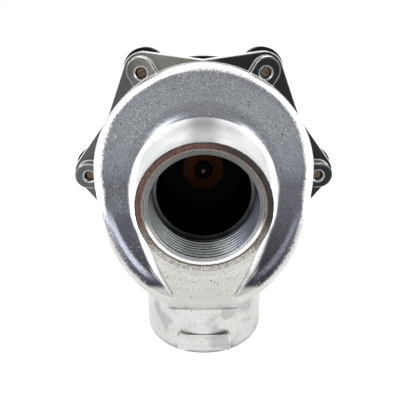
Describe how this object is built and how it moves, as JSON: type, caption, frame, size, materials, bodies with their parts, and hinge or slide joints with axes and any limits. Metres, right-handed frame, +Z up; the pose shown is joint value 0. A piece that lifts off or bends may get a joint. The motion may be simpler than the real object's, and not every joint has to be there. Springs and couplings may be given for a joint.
{
  "type": "diaphragm pulse valve",
  "caption": "Right-angle threaded diaphragm pulse valve for a dust collector: cast aluminium body, black cover and solenoid pilot.",
  "frame": {"origin": "centre of the inlet port's mouth face, which the valve stands on", "axes": "+Z up along the inlet port's axis, so the inlet opens to -Z; the outlet opens to -Y and the cover with its solenoid faces +Y"},
  "size_m": [0.1336, 0.1282, 0.1331],
  "materials": {
    "cast_aluminium": "die cast, machined on the joint faces and mouths",
    "black_rubber": "moulded, dull",
    "brown_metal": "dark brown, tarnished",
    "black_steel": "black oxide",
    "zinc_steel": "zinc plated",
    "yellow_zinc_steel": "yellow passivated zinc",
    "stainless_steel": "turned",
    "spring_steel": "drawn wire",
    "black_cover_plastic": "glass-filled, moulded black",
    "black_coil_plastic": "moulded black",
    "natural_plastic": "moulded, natural",
    "copper": "copper, enamelled where wound",
    "tinned_brass": "tinned",
    "black_yoke_steel": "black coated sheet steel"
  },
  "bodies": {
    "valve": {"valve_body": "cast_aluminium", "diaphragm_web": "black_rubber", "main_spring": "spring_steel", "cover": "black_cover_plastic", "cover_washers": "zinc_steel", "cover_screws": "yellow_zinc_steel", "core_tube": "stainless_steel", "stem_seal": "black_rubber", "fixed_core": "stainless_steel", "shading_ring": "copper", "plunger_spring": "spring_steel", "coil_bobbin": "natural_plastic", "coil_winding": "copper", "coil_body": "black_coil_plastic", "magnet_yoke": "black_yoke_steel", "coil_washer": "zinc_steel", "coil_nut": "zinc_steel", "contact_blades": "tinned_brass", "connector_seal": "black_rubber", "contact_block": "natural_plastic", "connector_housing": "black_coil_plastic", "connector_screw": "zinc_steel", "gland_seal": "black_rubber", "gland_nut": "black_coil_plastic"},
    "diaphragm": {"diaphragm_centre": "black_rubber", "diaphragm_washer": "brown_metal", "diaphragm_bolt": "black_steel", "retainer_plate": "zinc_steel", "retainer_nut": "zinc_steel"},
    "armature": {"plunger": "stainless_steel", "plunger_seal": "black_rubber"}
  },
  "joints": [
    {"name": "diaphragm_lift", "type": "slide", "parent": "valve", "child": "diaphragm", "axis": [0, 1, 0], "range_m": [0, 0.005], "stiffness_N_per_m": 2000, "springref_m": -0.006, "deforming": ["diaphragm_web", "main_spring"]},
    {"name": "plunger_lift", "type": "slide", "parent": "valve", "child": "armature", "axis": [0, 1, 0], "range_m": [0, 0.0015], "stiffness_N_per_m": 400, "springref_m": -0.004, "deforming": ["plunger_spring"]}
  ]
}
